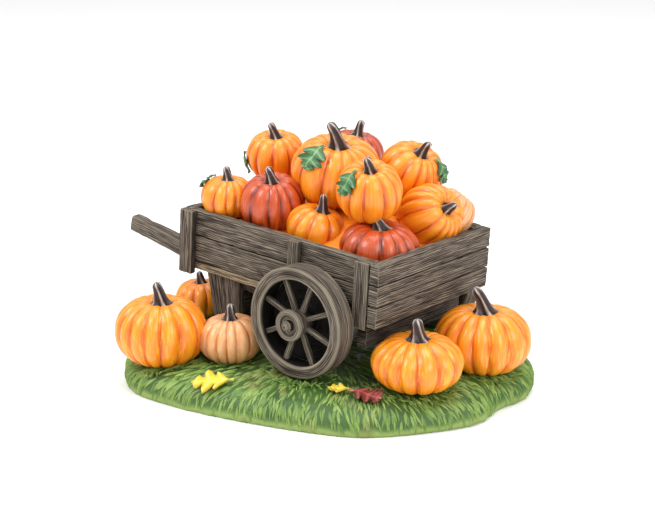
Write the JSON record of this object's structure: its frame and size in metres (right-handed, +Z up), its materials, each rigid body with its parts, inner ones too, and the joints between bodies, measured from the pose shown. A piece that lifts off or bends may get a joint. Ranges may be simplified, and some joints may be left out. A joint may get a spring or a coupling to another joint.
{
  "type": "pumpkin hand cart figurine",
  "caption": "Tabletop figurine of a two-wheeled wooden hand cart heaped with pumpkins, on a grass mound, with turning spoked wheels.",
  "frame": {"origin": "on the surface the figurine stands on, under the middle of the cart's box", "axes": "+X along the cart to its tail, -X to the handles, +Y to the cart's far side, +Z up"},
  "size_m": [0.1105, 0.0909, 0.0667],
  "materials": {
    "wood": "weathered grey-brown paint with carved grain, tan dry-brushed edges and dark joints",
    "wood_pale": "weathered tan paint with carved grain",
    "iron_paint": "dark grey-brown paint, satin",
    "pumpkin_orange": "glossy orange with yellow streaks and darker grooves",
    "pumpkin_red": "glossy vermilion with dark brown grooves",
    "pumpkin_peach": "glossy pale peach with orange grooves",
    "filler": "orange-brown paint between the pumpkins",
    "grass": "sculpted green blades with light yellow-green tips",
    "stem": "dark brown, ridged, with grey dry-brushed highlights",
    "leaf": "green with pale veins"
  },
  "bodies": {
    "root": {"axle": "iron_paint", "axle_bolster": "wood", "far_axle_cap": "iron_paint", "far_bottom_rail": "wood_pale", "far_front_post": "wood", "far_leg": "wood", "far_lower_plank": "wood", "far_middle_batten": "wood", "far_shaft": "wood", "far_tail_post": "wood", "far_upper_plank": "wood", "floor_board_1": "wood", "floor_board_2": "wood", "floor_board_3": "wood", "front_lower_plank": "wood", "front_middle_plank": "wood", "front_upper_plank": "wood", "grass_base": "grass", "leg_brace": "wood", "load_bed": "filler", "near_axle_cap": "iron_paint", "near_bottom_rail": "wood_pale", "near_front_post": "wood", "near_leg": "wood", "near_lower_plank": "wood", "near_middle_batten": "wood", "near_shaft": "wood", "near_tail_post": "wood", "near_upper_plank": "wood", "pumpkin_back_left": "pumpkin_orange", "pumpkin_back_middle": "pumpkin_orange", "pumpkin_back_right": "pumpkin_peach", "pumpkin_ground_back": "pumpkin_orange", "pumpkin_ground_front": "pumpkin_orange", "pumpkin_ground_left": "pumpkin_orange", "pumpkin_ground_peach": "pumpkin_peach", "pumpkin_ground_right": "pumpkin_orange", "pumpkin_large_top": "pumpkin_orange", "pumpkin_mid_front": "pumpkin_orange", "pumpkin_mid_right": "pumpkin_orange", "pumpkin_peach_right": "pumpkin_peach", "pumpkin_red_back": "pumpkin_red", "pumpkin_red_front": "pumpkin_red", "pumpkin_red_left": "pumpkin_red", "pumpkin_small_front": "pumpkin_orange", "pumpkin_small_left": "pumpkin_orange", "pumpkin_tipped": "pumpkin_orange", "pumpkin_top_left": "pumpkin_orange", "pumpkin_under_left": "pumpkin_orange", "tail_beam": "wood", "tail_lower_plank": "wood", "tail_middle_plank": "wood", "tail_upper_plank": "wood"},
    "near_wheel": {"near_wheel_felloe_ring": "wood", "near_wheel_hub_cap": "wood", "near_wheel_nave_and_spokes": "wood"},
    "far_wheel": {"far_wheel_felloe_ring": "wood", "far_wheel_hub_cap": "wood", "far_wheel_nave_and_spokes": "wood"}
  },
  "joints": [
    {"name": "near_wheel_spin", "type": "hinge", "parent": "root", "child": "near_wheel", "pos_m": [0.0112, 0, 0.0221], "axis": [0, 1, 0], "continuous": true},
    {"name": "far_wheel_spin", "type": "hinge", "parent": "root", "child": "far_wheel", "pos_m": [0.0112, 0, 0.0221], "axis": [0, 1, 0], "continuous": true}
  ]
}
